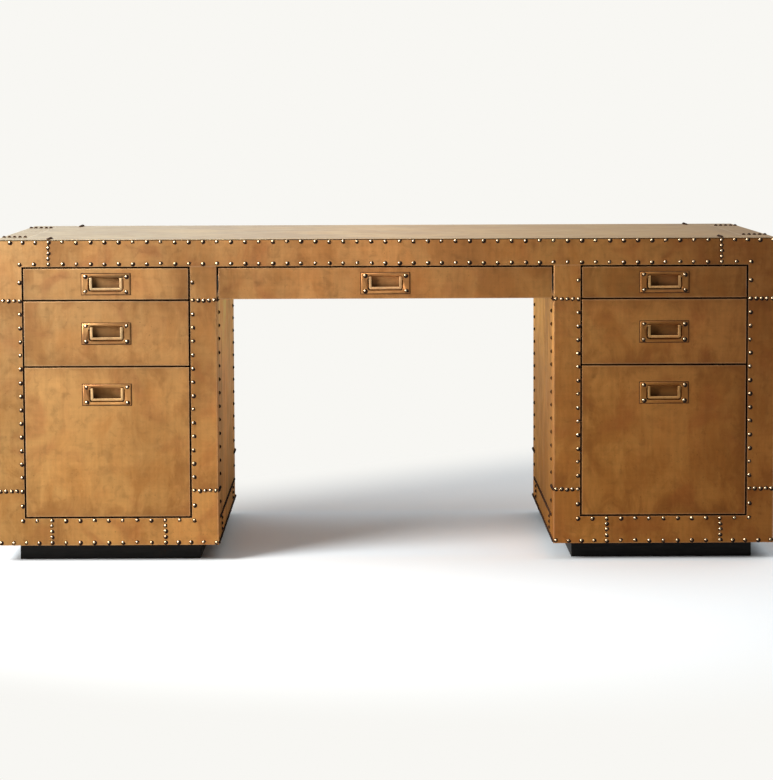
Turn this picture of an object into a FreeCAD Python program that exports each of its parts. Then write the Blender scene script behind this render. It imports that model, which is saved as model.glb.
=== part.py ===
import FreeCAD, Part
import os
import Sketcher
from FreeCAD import Vector

# A double-pedestal desk. It stands on the floor at Z = 0, faces -Y, and its origin is the
# middle of its footprint, pulls included. The case is boards under nailed brass sheet, with
# seven drawers on steel slides, each with a drop bail in a recessed pull. Sizes are in mm.

SIZES = {
    # Case
    "kneehole_width": 790,
    "opening_width": 394,
    "stile_width": 63,
    "case_depth": 762,
    "band_height": 64,
    "bottom_rail_height": 64,
    "top_front_height": 73,
    "middle_front_height": 152,
    "file_front_height": 353,
    "drawer_gap": 4,
    "board_thickness": 20,
    "back_thickness": 12,
    "underside_thickness": 12,
    "frame_thickness": 20,
    "rib_thickness": 20,
    # Plinths
    "plinth_height": 40,
    "plinth_setback": 46,
    # Brass sheet
    "sheet_thickness": 1,
    "border_width": 65,
    "corner_arm": 126,
    "upper_seam_drop": 2,
    "lower_seam_rise": 65,
    "seam_gap": 0.4,
    "fold_radius": 1.8,
    "edge_radius": 0.8,
    # Drawers
    "front_thickness": 19,
    "face_return": 12,
    "box_board": 12,
    "box_bottom": 6,
    "groove_depth": 6,
    "groove_rise": 8,
    "box_lift": 11,
    "top_box_height": 50,
    "middle_box_height": 125,
    "file_box_height": 300,
    "pedestal_box_depth": 650,
    "centre_box_depth": 450,
    # Slides
    "runner_space": 12.7,
    "runner_height": 35,
    "runner_gauge": 1.2,
    "cabinet_flange": 10.5,
    "cabinet_lip": 4,
    "drawer_channel_depth": 7,
    "drawer_channel_neck": 23,
    "runner_clearance": 0.3,
    "runner_setback": 3,
    "pedestal_runner_length": 600,
    "centre_runner_length": 400,
    "cleat_height": 48,
    # Pulls
    "plate_width": 114,
    "plate_height": 49,
    "plate_thickness": 2.5,
    "plate_bevel": 1.2,
    "cup_width": 80,
    "cup_height": 33,
    "cup_depth": 14,
    "cup_wall": 2.5,
    "cup_corner_radius": 3,
    "cup_clearance": 0.5,
    "file_pull_drop": 64,
    "bail_width": 76.5,
    "bail_bar": 5.8,
    "bail_depth": 5,
    "bail_end": 2.5,
    "bail_foot_gap": 1.9,
    "bail_corner_bevel": 2.2,
    "bail_edge_bevel": 1.3,
    "bail_end_bevel": 1.5,
    "pivot_drop": 3.5,
    "pin_radius": 1.5,
    "pin_clearance": 0.05,
    "pin_seat": 2.2,
    "pin_end_gap": 0.3,
}

RIB_COUNT = 5
SAME_PLACE = 1e-6

doc = FreeCAD.newDocument("Desk")
sheet = doc.addObject("Spreadsheet::Sheet", "Sizes")


class Length:
    """A length with the spreadsheet expression that gives it."""

    def __init__(self, value, text):
        self.value = value
        self.text = text

    def __add__(self, other):
        return Length(self.value + value_of(other), f"({self.text} + {text_of(other)})")

    def __sub__(self, other):
        return Length(self.value - value_of(other), f"({self.text} - {text_of(other)})")

    def __mul__(self, factor):
        return Length(self.value * factor, f"({self.text} * {factor})")

    def __truediv__(self, divisor):
        return Length(self.value / divisor, f"({self.text} / {divisor})")

    def __neg__(self):
        return self * -1


def value_of(item):
    return item.value if isinstance(item, Length) else item


def text_of(item):
    return item.text if isinstance(item, Length) else str(item)


ZERO = Length(0, "0")
size = {}
for row, (alias, number) in enumerate(SIZES.items(), start=1):
    sheet.set(f"A{row}", alias)
    sheet.set(f"B{row}", str(number))
    sheet.setAlias(f"B{row}", alias)
    size[alias] = Length(number, f"Sizes.{alias}")
doc.recompute()

# Faces of the case that other pieces are measured from

skin = size["sheet_thickness"]
board = size["board_thickness"]
gap = size["drawer_gap"]
half_kneehole = size["kneehole_width"] / 2
pedestal_width = size["opening_width"] + size["stile_width"] * 2
half_width = half_kneehole + pedestal_width
pedestal_middle = half_kneehole + pedestal_width / 2
front = (size["plate_thickness"] - size["case_depth"]) / 2
back = front + size["case_depth"]
frame_back = front + skin + size["frame_thickness"]

case_bottom = size["plinth_height"]
rail_top = case_bottom + size["bottom_rail_height"]
file_bottom = rail_top + gap
middle_bottom = file_bottom + size["file_front_height"] + gap
top_bottom = middle_bottom + size["middle_front_height"] + gap
band_bottom = top_bottom + size["top_front_height"] + gap
desk_top = band_bottom + size["band_height"]
upper_seam = top_bottom - size["upper_seam_drop"]
lower_seam = rail_top + size["lower_seam_rise"]

nodes = []


def bind(item, prop, length):
    item.setExpression(prop, text_of(length))


def keep(label, pieces):
    """Make pieces one node of separate solids under its own label."""
    group = doc.addObject("Part::Compound", label)
    group.Links = pieces
    group.Label = label
    nodes.append(group)


def box(name, x, y, z):
    """A square-edged board between pairs of faces."""
    item = doc.addObject("Part::Box", name)
    for prop, (low, high) in zip(("Length", "Width", "Height"), (x, y, z)):
        bind(item, prop, high - low)
    for axis, (low, high) in zip("xyz", (x, y, z)):
        bind(item, f"Placement.Base.{axis}", low)
    return item


def sided(side, inner, outer):
    """The span from inner to outer, counted from the middle of the desk to the given side."""
    return (inner, outer) if side > 0 else (-outer, -inner)


def about(middle, width):
    """The span of the given width about its middle."""
    return (middle - width / 2, middle + width / 2)


def new_body(name, x, y, z):
    body = doc.addObject("PartDesign::Body", name)
    for axis, length in zip("xyz", (x, y, z)):
        bind(body, f"Placement.Base.{axis}", length)
    return body


def attach(body, role, name, offset=None):
    """A sketch on one of the body's own origin planes, moved along its normal by offset."""
    sketch = body.newObject("Sketcher::SketchObject", name)
    plane = next(item for item in body.Origin.OriginFeatures if item.Role == role)
    sketch.AttachmentSupport = [(plane, "")]
    sketch.MapMode = "FlatFace"
    if offset is not None:
        bind(sketch, "AttachmentOffset.Base.z", offset)
    return sketch


def outline(body, role, name, loops, offset=None):
    """A sketch of closed loops of straight lines, each corner held by its two lengths."""
    sketch = attach(body, role, name, offset)
    for points in loops:
        first = sketch.GeometryCount
        corners = [Vector(value_of(across), value_of(up), 0) for across, up in points]
        for index, corner in enumerate(corners):
            line = Part.LineSegment(corner, corners[(index + 1) % len(corners)])
            sketch.addGeometry(line, False)
        for index, (across, up) in enumerate(points):
            line = first + index
            following = first + (index + 1) % len(points)
            sketch.addConstraint(Sketcher.Constraint("Coincident", line, 2, following, 1))
            for kind, length in (("DistanceX", across), ("DistanceY", up)):
                rule = Sketcher.Constraint(kind, -1, 1, line, 1, float(value_of(length)))
                bind(sketch, f"Constraints[{sketch.addConstraint(rule)}]", length)
    return sketch


def circle(body, role, name, radius, offset=None):
    """A circle about the body's origin."""
    sketch = attach(body, role, name, offset)
    ring = sketch.addGeometry(Part.Circle(Vector(0, 0, 0), Vector(0, 0, 1), value_of(radius)), False)
    sketch.addConstraint(Sketcher.Constraint("Coincident", ring, 3, -1, 1))
    rule = sketch.addConstraint(Sketcher.Constraint("Radius", ring, float(value_of(radius))))
    bind(sketch, f"Constraints[{rule}]", radius)
    return sketch


def rectangle(across, up):
    """The four corners between two pairs of edges."""
    return [
        (across[0], up[0]),
        (across[1], up[0]),
        (across[1], up[1]),
        (across[0], up[1]),
    ]


def pad(body, name, sketch, length, backwards=False, both_ways=False):
    feature = body.newObject("PartDesign::Pad", name)
    feature.Profile = sketch
    bind(feature, "Length", length)
    feature.Reversed = backwards
    if both_ways:
        feature.SideType = "Symmetric"
    doc.recompute()
    return feature


def pocket(body, name, sketch, length, both_ways=False):
    """A cut from the sketch, against its normal. It stops the build if nothing is cut."""
    before = body.Shape.Volume
    feature = body.newObject("PartDesign::Pocket", name)
    feature.Profile = sketch
    bind(feature, "Length", length)
    if both_ways:
        feature.SideType = "Symmetric"
    doc.recompute()
    if body.Shape.Volume >= before:
        raise RuntimeError(f"{body.Name}: {name} cuts nothing")
    return feature


def edges_where(feature, test):
    """Names of the feature's edges whose end points pass the test."""
    found = []
    for index, edge in enumerate(feature.Shape.Edges, start=1):
        ends = [vertex.Point for vertex in edge.Vertexes]
        if len(ends) == 2 and test(ends[0], ends[1]):
            found.append(f"Edge{index}")
    return found


def near(first, second):
    return abs(first - second) < SAME_PLACE


def dress(body, kind, name, base, edges, prop, length):
    """A fillet or a chamfer on the named edges."""
    feature = body.newObject(f"PartDesign::{kind}", name)
    feature.Base = (base, edges)
    bind(feature, prop, length)
    doc.recompute()
    return feature


# Plinths: four boards under each pedestal, set back on every side

def plinth(label, side):
    setback = size["plinth_setback"]
    height = (ZERO, case_bottom)
    left, right = sided(side, half_kneehole + setback, half_width - setback)
    near_y, far_y = front + setback, back - setback
    keep(label, [
        box(f"{label}_front_board", (left, right), (near_y, near_y + board), height),
        box(f"{label}_back_board", (left, right), (far_y - board, far_y), height),
        box(f"{label}_left_board", (left, left + board), (near_y + board, far_y - board), height),
        box(f"{label}_right_board", (right - board, right), (near_y + board, far_y - board), height),
    ])


plinth("left_plinth", -1)
plinth("right_plinth", 1)

# Pedestals: side panels, back and bottom boards behind a face frame

wall_height = (case_bottom, band_bottom)
back_face = back - skin - size["back_thickness"]
inner_panel = (half_kneehole + skin, half_kneehole + skin + board)
outer_panel = (half_width - skin - board, half_width - skin)
inner_stile = (half_kneehole + skin, half_kneehole + size["stile_width"])
outer_stile = (half_width - size["stile_width"], half_width - skin)
frame_depth = (front + skin, frame_back)
backs = []
bottoms = []
frames = []
for side, word in ((-1, "left"), (1, "right")):
    keep(f"{word}_pedestal_panels", [
        box(f"{word}_kneehole_panel", sided(side, *inner_panel), (frame_back, back - skin), wall_height),
        box(f"{word}_outer_panel", sided(side, *outer_panel), (frame_back, back - skin), wall_height),
    ])
    between = sided(side, inner_panel[1], outer_panel[0])
    backs.append(box(f"{word}_back", between, (back_face, back - skin), wall_height))
    floor = (case_bottom, case_bottom + board)
    bottoms.append(box(f"{word}_bottom", between, (frame_back, back_face), floor))
    rail = sided(side, inner_stile[1], outer_stile[0])
    frames.append(box(f"{word}_inner_stile", sided(side, *inner_stile), frame_depth, wall_height))
    frames.append(box(f"{word}_outer_stile", sided(side, *outer_stile), frame_depth, wall_height))
    frames.append(box(f"{word}_bottom_rail", rail, frame_depth, (case_bottom, rail_top)))
keep("pedestal_backs", backs)
keep("pedestal_bottoms", bottoms)
keep("face_frames", frames)

# Back apron: closes the kneehole at the back to the height of the centre drawer

keep("back_apron", [
    box("apron_board", (-half_kneehole, half_kneehole), (back - skin - board, back - skin),
        (top_bottom, band_bottom)),
])

# Desktop: two boards on ribs, under brass on top and all round

core_x = (skin - half_width, half_width - skin)
core_y = (front + skin, back - skin)
core_top = desk_top - skin
underside_top = band_bottom + size["underside_thickness"]
rib = size["rib_thickness"]
rib_height = (underside_top, core_top - board)
keep("desktop_underside", [box("underside_board", core_x, core_y, (band_bottom, underside_top))])
keep("desktop_board", [box("top_board", core_x, core_y, (core_top - board, core_top))])
ribs = [
    box("front_rib", core_x, (core_y[0], core_y[0] + rib), rib_height),
    box("back_rib", core_x, (core_y[1] - rib, core_y[1]), rib_height),
]
cross_y = (core_y[0] + rib, core_y[1] - rib)
cross_span = core_x[1] - core_x[0] - rib
for index in range(RIB_COUNT):
    start = core_x[0] + cross_span * index / (RIB_COUNT - 1)
    ribs.append(box(f"cross_rib_{index + 1}", (start, start + rib), cross_y, rib_height))
keep("desktop_ribs", ribs)

# Brass sheet: flat strips and fields, with L-shaped sheets at the corners

arm = size["corner_arm"]
border = size["border_width"]
stile = size["stile_width"]
seam = size["seam_gap"]
sheet_top = desk_top - skin
front_skin = (front, front + skin)
back_skin = (back - skin, back)


def inset(span):
    """The span less half a seam at each end."""
    return (span[0] + seam / 2, span[1] - seam / 2)


def flat_ell(name, x, y, across, up):
    """An L-shaped sheet on the desktop, with its arms along the two edges that meet at x, y."""
    body = new_body(name, x, y, sheet_top)
    long_arm = arm - seam / 2
    points = [
        (ZERO, ZERO),
        (long_arm * across, ZERO),
        (long_arm * across, border * up),
        (border * across, border * up),
        (border * across, long_arm * up),
        (ZERO, long_arm * up),
    ]
    plate = pad(body, "plate", outline(body, "XY_Plane", "outline", [points]), skin)
    rim = edges_where(plate, lambda a, b: near(a.z, skin.value) and near(b.z, skin.value)
                      and (near(a.x, 0) and near(b.x, 0) or near(a.y, 0) and near(b.y, 0)))
    dress(body, "Fillet", "rounded_edge", plate, rim, "Radius", size["edge_radius"])
    return body


top_pieces = [
    flat_ell("top_front_left", -half_width, front, 1, 1),
    flat_ell("top_front_right", half_width, front, -1, 1),
    flat_ell("top_back_left", -half_width, back, 1, -1),
    flat_ell("top_back_right", half_width, back, -1, -1),
]


def edge_strip(name, x, y, low_edge, along_x):
    """A border strip on the desktop with its outer top edge rounded."""
    body = new_body(name, x[0], y[0], sheet_top)
    wide, deep = x[1] - x[0], y[1] - y[0]
    plate = pad(body, "plate", outline(body, "XY_Plane", "outline",
                                       [rectangle((ZERO, wide), (ZERO, deep))]), skin)
    outer = 0 if low_edge else value_of(deep if along_x else wide)
    rim = edges_where(plate, lambda a, b: near(a.z, skin.value) and near(b.z, skin.value)
                      and near(a.y if along_x else a.x, outer) and near(b.y if along_x else b.x, outer))
    dress(body, "Fillet", "rounded_edge", plate, rim, "Radius", size["edge_radius"])
    return body


strip_x = inset((arm - half_width, half_width - arm))
strip_y = inset((front + arm, back - arm))
top_pieces += [
    edge_strip("top_front_strip", strip_x, (front, front + border), True, True),
    edge_strip("top_back_strip", strip_x, (back - border, back), False, True),
    edge_strip("top_left_strip", (-half_width, border - half_width), strip_y, True, False),
    edge_strip("top_right_strip", (half_width - border, half_width), strip_y, False, False),
    box("top_field", inset((border - half_width, half_width - border)),
        inset((front + border, back - border)), (sheet_top, desk_top)),
]
keep("top_sheets", top_pieces)

band_height = (band_bottom, sheet_top)
rail_height = (case_bottom, rail_top)
field_height = inset((rail_top, band_bottom))
edge_sheets = [
    box("front_band", strip_x, front_skin, band_height),
    box("back_band", strip_x, back_skin, band_height),
    box("left_band", sided(-1, half_width - skin, half_width), strip_y, band_height),
    box("right_band", sided(1, half_width - skin, half_width), strip_y, band_height),
]
fields = []
for side, word in ((-1, "left"), (1, "right")):
    rail_x = inset(sided(side, half_kneehole + arm, half_width - arm))
    outer_skin = sided(side, half_width - skin, half_width)
    inner_skin = sided(side, half_kneehole, half_kneehole + skin)
    edge_sheets.append(box(f"{word}_front_rail", rail_x, front_skin, rail_height))
    edge_sheets.append(box(f"{word}_back_rail", rail_x, back_skin, rail_height))
    edge_sheets.append(box(f"{word}_outer_rail", outer_skin, strip_y, rail_height))
    edge_sheets.append(box(f"{word}_kneehole_rail", inner_skin, strip_y, rail_height))
    field_y = inset((front + border, back - border))
    field_x = inset(sided(side, half_kneehole + stile, half_width - stile))
    fields.append(box(f"{word}_outer_field", outer_skin, field_y, field_height))
    fields.append(box(f"{word}_kneehole_field", inner_skin, field_y, field_height))
    fields.append(box(f"{word}_back_field", field_x, back_skin, field_height))
fields.append(box("apron_sheet", (-half_kneehole, half_kneehole), back_skin,
                  (top_bottom, band_bottom - seam / 2)))
keep("edge_sheets", edge_sheets)
keep("field_sheets", fields)


def folded_sheet(name, corner, across, depth, legs, levels, ends):
    """A sheet folded round an upright corner of the case.

    across and depth are the directions, 1 or -1, from the corner along X and Y. legs are the
    widths of the two legs, and levels the heights of the sheet's ends. ends names the end that
    has arms along the band or the bottom rail, or is "plain".
    """
    low, high = levels
    body = new_body(name, corner[0], corner[1], ZERO)
    outlines = []
    for direction, leg in ((across, legs[0]), (depth, legs[1])):
        reach = (arm - seam / 2) * direction
        leg = leg * direction
        points = [(ZERO, low), (leg, low), (leg, high), (ZERO, high)]
        if ends == "band":
            points = [(ZERO, low), (leg, low), (leg, band_bottom), (reach, band_bottom),
                      (reach, high), (ZERO, high)]
        if ends == "rail":
            points = [(ZERO, low), (reach, low), (reach, rail_top), (leg, rail_top),
                      (leg, high), (ZERO, high)]
        outlines.append(points)
    face = outline(body, "XZ_Plane", "face_outline", [outlines[0]])
    pad(body, "face_leg", face, skin, backwards=depth > 0)
    side = outline(body, "YZ_Plane", "side_outline", [outlines[1]])
    folded = pad(body, "side_leg", side, skin, backwards=across < 0)
    arris = edges_where(folded, lambda a, b: near(a.x, 0) and near(b.x, 0)
                        and near(a.y, 0) and near(b.y, 0))
    dress(body, "Fillet", "fold", folded, arris, "Radius", size["fold_radius"])
    return body


outer_corners = []
kneehole_corners = []
for side, word in ((-1, "left"), (1, "right")):
    for depth, end, plane in ((1, "front", front), (-1, "back", back)):
        outer = (half_width * side, plane)
        inner = (half_kneehole * side, plane)
        legs = (stile - seam / 2, border - seam / 2)
        low = (case_bottom, lower_seam - seam / 2)
        middle = (lower_seam + seam / 2, upper_seam - seam / 2)
        high = upper_seam + seam / 2
        prefix = f"{word}_{end}"
        outer_corners += [
            folded_sheet(f"{prefix}_low_corner", outer, -side, depth, legs, low, "rail"),
            folded_sheet(f"{prefix}_mid_corner", outer, -side, depth, legs, middle, "plain"),
            folded_sheet(f"{prefix}_top_corner", outer, -side, depth, legs, (high, sheet_top), "band"),
        ]
        kneehole_corners += [
            folded_sheet(f"{prefix}_low_fold", inner, side, depth, legs, low, "rail"),
            folded_sheet(f"{prefix}_mid_fold", inner, side, depth, legs, middle, "plain"),
            folded_sheet(f"{prefix}_top_fold", inner, side, depth, legs, (high, band_bottom), "plain"),
        ]
keep("outer_corner_sheets", outer_corners)
keep("kneehole_corner_sheets", kneehole_corners)

# Drawers

cleats = []
cabinet_runners = []
pivot_height = size["cup_height"] / 2 - size["pivot_drop"]


def rail_along_y(name, x, y, z, points, length):
    """A straight rail of the given section, which runs back from y."""
    body = new_body(name, x, y, z)
    pad(body, "run", outline(body, "XZ_Plane", "section", [points]), length, backwards=True)
    return body


def cabinet_section(toward):
    """A lipped channel: its web lies on the case and its mouth faces the drawer."""
    half = size["runner_height"] / 2
    gauge = size["runner_gauge"]
    mouth = size["cabinet_flange"] * toward
    lip_back = (size["cabinet_flange"] - gauge) * toward
    lip_end = half - size["cabinet_lip"]
    web = gauge * toward
    return [
        (ZERO, -half), (mouth, -half), (mouth, -lip_end), (lip_back, -lip_end),
        (lip_back, gauge - half), (web, gauge - half), (web, half - gauge),
        (lip_back, half - gauge), (lip_back, lip_end), (mouth, lip_end), (mouth, half), (ZERO, half),
    ]


def drawer_section(toward):
    """A hat-shaped channel: its crown lies on the drawer and its feet run behind the lips."""
    gauge = size["runner_gauge"]
    foot = size["runner_height"] / 2 - gauge - size["runner_clearance"]
    neck = size["drawer_channel_neck"] / 2
    far = size["drawer_channel_depth"] * toward
    foot_front = (size["drawer_channel_depth"] - gauge) * toward
    crown = gauge * toward
    return [
        (ZERO, -neck), (foot_front, -neck), (foot_front, -foot), (far, -foot),
        (far, gauge - neck), (crown, gauge - neck), (crown, neck - gauge),
        (far, neck - gauge), (far, foot), (foot_front, foot), (foot_front, neck), (ZERO, neck),
    ]


def grooved_section(thick, high, toward):
    """The section of a drawer board, with the groove that holds the bottom board."""
    floor = size["groove_rise"]
    ceiling = floor + size["box_bottom"]
    inner = thick * toward
    groove = (thick - size["groove_depth"]) * toward
    return [
        (ZERO, ZERO), (inner, ZERO), (inner, floor), (groove, floor),
        (groove, ceiling), (inner, ceiling), (inner, high), (ZERO, high),
    ]


def drawer_box(name, x, y, z, wide, deep, high):
    """Four grooved boards round a bottom board, centred on x, from y back and from z up."""
    wood = size["box_board"]
    half = wide / 2
    groove = size["groove_depth"]
    pieces = []
    for side, word in ((-1, "left"), (1, "right")):
        pieces.append(rail_along_y(f"{name}_{word}_side", x + half * side, y, z,
                                   grooved_section(wood, high, -side), deep))
    for place, toward, word in ((y, 1, "inner_front"), (y + deep, -1, "back_board")):
        body = new_body(f"{name}_{word}", x - half + wood, place, z)
        section = outline(body, "YZ_Plane", "section", [grooved_section(wood, high, toward)])
        pad(body, "run", section, wide - wood * 2)
        pieces.append(body)
    inset_by = wood - groove
    floor = z + size["groove_rise"]
    pieces.append(box(f"{name}_bottom_board", (x - half + inset_by, x + half - inset_by),
                      (y + inset_by, y + deep - inset_by), (floor, floor + size["box_bottom"])))
    return pieces


def drawer_front(name, x, z, wide, high, hole):
    """The wooden front, with a blind recess that takes the cup of the pull."""
    body = new_body(f"{name}_front", x, front + skin, z)
    half = wide / 2 - skin
    face = outline(body, "XZ_Plane", "face", [rectangle((-half, half), (skin, high - skin))])
    pad(body, "thickness", face, size["front_thickness"], backwards=True)
    recess = outline(body, "XZ_Plane", "recess_outline", [hole])
    deep = size["cup_depth"] + size["cup_wall"] - size["plate_thickness"] - skin + size["cup_clearance"]
    pocket(body, "recess", recess, deep)
    return body


def drawer_face(name, x, z, wide, high, hole):
    """The brass face: a sheet folded back over the four edges of the wooden front."""
    body = new_body(f"{name}_face", x, front + skin, z)
    half = wide / 2
    outer = rectangle((-half, half), (ZERO, high))
    inner = rectangle((skin - half, half - skin), (skin, high - skin))
    pad(body, "sheet", outline(body, "XZ_Plane", "sheet_outline", [outer, hole]), skin)
    folds = outline(body, "XZ_Plane", "fold_outline", [outer, inner])
    folded = pad(body, "returns", folds, size["face_return"], backwards=True)
    rim = edges_where(folded, lambda a, b: near(a.y, -skin.value) and near(b.y, -skin.value)
                      and (near(a.x, b.x) and near(abs(a.x), half.value)
                           or near(a.z, b.z) and (near(a.z, 0) or near(a.z, high.value))))
    dress(body, "Fillet", "rounded_edges", folded, rim, "Radius", size["edge_radius"])
    return body


def drawer_pull(name, x, z):
    """A bevelled plate with a cup behind it. Blind seats in the cup's sides take the pins."""
    body = new_body(f"{name}_pull", x, front, z)
    wide, high = size["plate_width"] / 2, size["plate_height"] / 2
    cup_x, cup_z = size["cup_width"] / 2, size["cup_height"] / 2
    wall = size["cup_wall"]
    thick = size["plate_thickness"]
    behind = size["cup_depth"] - thick
    plate = outline(body, "XZ_Plane", "plate_outline", [rectangle((-wide, wide), (-high, high))])
    pad(body, "plate", plate, thick)
    shell = rectangle((-cup_x - wall, cup_x + wall), (-cup_z - wall, cup_z + wall))
    pad(body, "cup", outline(body, "XZ_Plane", "cup_outline", [shell]), behind + wall, backwards=True)
    mouth = rectangle((-cup_x, cup_x), (-cup_z, cup_z))
    front_side = outline(body, "XZ_Plane", "mouth_outline", [mouth], offset=thick)
    hollow = pocket(body, "hollow", front_side, size["cup_depth"])
    upright = edges_where(hollow, lambda a, b: near(a.x, b.x) and near(a.z, b.z)
                          and near(abs(a.x), cup_x.value) and near(abs(a.z), cup_z.value))
    rounded = dress(body, "Fillet", "cup_corners", hollow, upright, "Radius", size["cup_corner_radius"])
    rim = edges_where(rounded, lambda a, b: near(a.y, -thick.value) and near(b.y, -thick.value)
                      and (near(abs(a.x), wide.value) or near(abs(a.z), high.value)))
    dress(body, "Chamfer", "bevel", rounded, rim, "Size", size["plate_bevel"])
    radius = size["pin_radius"] + size["pin_clearance"]
    seats = attach(body, "YZ_Plane", "seat_outline")
    ring = seats.addGeometry(Part.Circle(Vector(0, value_of(pivot_height), 0), Vector(0, 0, 1),
                                         value_of(radius)), False)
    for kind, length in (("DistanceX", ZERO), ("DistanceY", pivot_height)):
        rule = Sketcher.Constraint(kind, -1, 1, ring, 3, float(value_of(length)))
        bind(seats, f"Constraints[{seats.addConstraint(rule)}]", length)
    rule = seats.addConstraint(Sketcher.Constraint("Radius", ring, float(value_of(radius))))
    bind(seats, f"Constraints[{rule}]", radius)
    pocket(body, "pin_seats", seats, (cup_x + size["pin_seat"]) * 2, both_ways=True)
    return body


def drawer_bail(name, x, z):
    """The drop handle: a U-shaped bar with a pivot pin at the outside of each arm.

    Its body's origin is on the pivot axis.
    """
    body = new_body(f"{name}_bail", x, front, z + pivot_height)
    half = size["bail_width"] / 2
    bar = size["bail_bar"]
    top = size["bail_end"]
    foot = size["bail_foot_gap"] - size["cup_height"] / 2 - pivot_height
    deep = size["bail_depth"]
    points = [
        (-half, top), (-half, foot), (half, foot), (half, top),
        (half - bar, top), (half - bar, foot + bar), (bar - half, foot + bar), (bar - half, top),
    ]
    rod = pad(body, "bar", outline(body, "XZ_Plane", "bar_outline", [points]), deep, both_ways=True)
    outer = edges_where(rod, lambda a, b: near(a.x, b.x) and near(a.z, b.z) and near(a.z, foot.value))
    rod = dress(body, "Chamfer", "outer_corners", rod, outer, "Size", size["bail_corner_bevel"])
    tips = edges_where(rod, lambda a, b: near(a.y, b.y) and near(a.z, top.value) and near(b.z, top.value))
    rod = dress(body, "Chamfer", "eased_ends", rod, tips, "Size", size["bail_end_bevel"])
    long_edges = edges_where(rod, lambda a, b: near(a.y, b.y) and near(abs(a.y), deep.value / 2)
                             and a.z < 0)
    dress(body, "Chamfer", "eased_edges", rod, long_edges, "Size", size["bail_edge_bevel"])
    bite = bar / 2
    start = half - bite
    reach = size["cup_width"] / 2 + size["pin_seat"] - size["pin_end_gap"] - start
    pad(body, "right_pin", circle(body, "YZ_Plane", "right_pin_outline", size["pin_radius"], start), reach)
    pad(body, "left_pin", circle(body, "YZ_Plane", "left_pin_outline", size["pin_radius"], -start),
        reach, backwards=True)
    return body


def drawer(name, x, z, opening, high, box_high, box_deep, runner_length, pull_height, seat):
    """All the pieces of one drawer, with the fixed half of its slides.

    opening is the width between the faces that carry the slides, seat the thickness of the
    packing behind each slide, or None where it is fixed straight to the pedestal.
    """
    wide = opening - gap * 2
    cup_x = size["cup_width"] / 2 + size["cup_wall"] + size["cup_clearance"]
    cup_z = size["cup_height"] / 2 + size["cup_wall"] + size["cup_clearance"]
    hole = rectangle((-cup_x, cup_x), (pull_height - cup_z, pull_height + cup_z))
    nodes.append(drawer_front(name, x, z, wide, high, hole))
    nodes.append(drawer_face(name, x, z, wide, high, hole))
    nodes.append(drawer_pull(name, x, z + pull_height))
    nodes.append(drawer_bail(name, x, z + pull_height))

    low = z + size["box_lift"]
    near_y = front + skin + size["front_thickness"]
    box_wide = opening - size["runner_space"] * 2
    keep(f"{name}_box", drawer_box(name, x, near_y, low, box_wide, box_deep, box_high))

    runner_z = low + box_high / 2
    runner_y = near_y + size["runner_setback"]
    moving = []
    for side, word in ((-1, "left"), (1, "right")):
        moving.append(rail_along_y(f"{name}_{word}_runner", x + box_wide / 2 * side, runner_y, runner_z,
                                   drawer_section(side), runner_length))
        wall = x + opening / 2 * side
        cabinet_runners.append(rail_along_y(f"{name}_{word}_cabinet_runner", wall, runner_y, runner_z,
                                            cabinet_section(-side), runner_length))
        if seat is not None:
            span = (wall, wall + seat) if side > 0 else (wall - seat, wall)
            cleats.append(box(f"{name}_{word}_cleat", span, (frame_back, back_face),
                              about(runner_z, size["cleat_height"])))
    keep(f"{name}_runners", moving)


packing = size["stile_width"] - skin - board
for side, word in ((-1, "left"), (1, "right")):
    for kind, bottom in (("top", top_bottom), ("middle", middle_bottom), ("file", file_bottom)):
        high = size[f"{kind}_front_height"]
        pull_height = high - size["file_pull_drop"] if kind == "file" else high / 2
        drawer(f"{word}_{kind}_drawer", pedestal_middle * side, bottom, size["opening_width"], high,
               size[f"{kind}_box_height"], size["pedestal_box_depth"],
               size["pedestal_runner_length"], pull_height, packing)
drawer("centre_drawer", ZERO, top_bottom, size["kneehole_width"], size["top_front_height"],
       size["top_box_height"], size["centre_box_depth"], size["centre_runner_length"],
       size["top_front_height"] / 2, None)
keep("runner_cleats", cleats)
keep("cabinet_runners", cabinet_runners)

doc.recompute()
for item in doc.Objects:
    if "Invalid" in item.State or "Error" in item.State:
        raise RuntimeError(f"{item.Label}: {item.State}")
for node in nodes:
    if node.Shape.isNull() or not node.Shape.isValid():
        raise RuntimeError(f"{node.Label}: shape is not valid")
os.makedirs("parts", exist_ok=True)
for node in nodes:
    node.Shape.exportStep(f"parts/{node.Label}.step")
print(len(nodes), "nodes")
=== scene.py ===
import math
import random
from functools import partial

import bpy
from mathutils import Matrix, Vector


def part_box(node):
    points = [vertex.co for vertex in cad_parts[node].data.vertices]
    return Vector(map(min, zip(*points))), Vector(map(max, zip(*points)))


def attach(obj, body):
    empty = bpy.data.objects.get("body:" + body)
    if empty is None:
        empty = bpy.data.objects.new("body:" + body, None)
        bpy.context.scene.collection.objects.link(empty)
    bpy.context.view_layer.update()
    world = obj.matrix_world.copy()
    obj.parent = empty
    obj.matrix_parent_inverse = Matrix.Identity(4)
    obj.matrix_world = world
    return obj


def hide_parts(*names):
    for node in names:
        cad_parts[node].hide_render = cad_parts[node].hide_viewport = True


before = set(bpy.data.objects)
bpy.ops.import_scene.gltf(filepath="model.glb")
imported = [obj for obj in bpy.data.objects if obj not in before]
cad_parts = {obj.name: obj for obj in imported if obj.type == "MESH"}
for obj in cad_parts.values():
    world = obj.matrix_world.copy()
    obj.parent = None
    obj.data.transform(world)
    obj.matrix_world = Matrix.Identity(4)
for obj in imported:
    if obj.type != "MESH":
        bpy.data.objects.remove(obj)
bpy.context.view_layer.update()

# Camera
# It stands 6.2 m in front of the desk, a little above the top, and looks slightly down. Its
# lens is shifted a little, because the uprights of the desk hardly converge in the photo.

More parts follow.
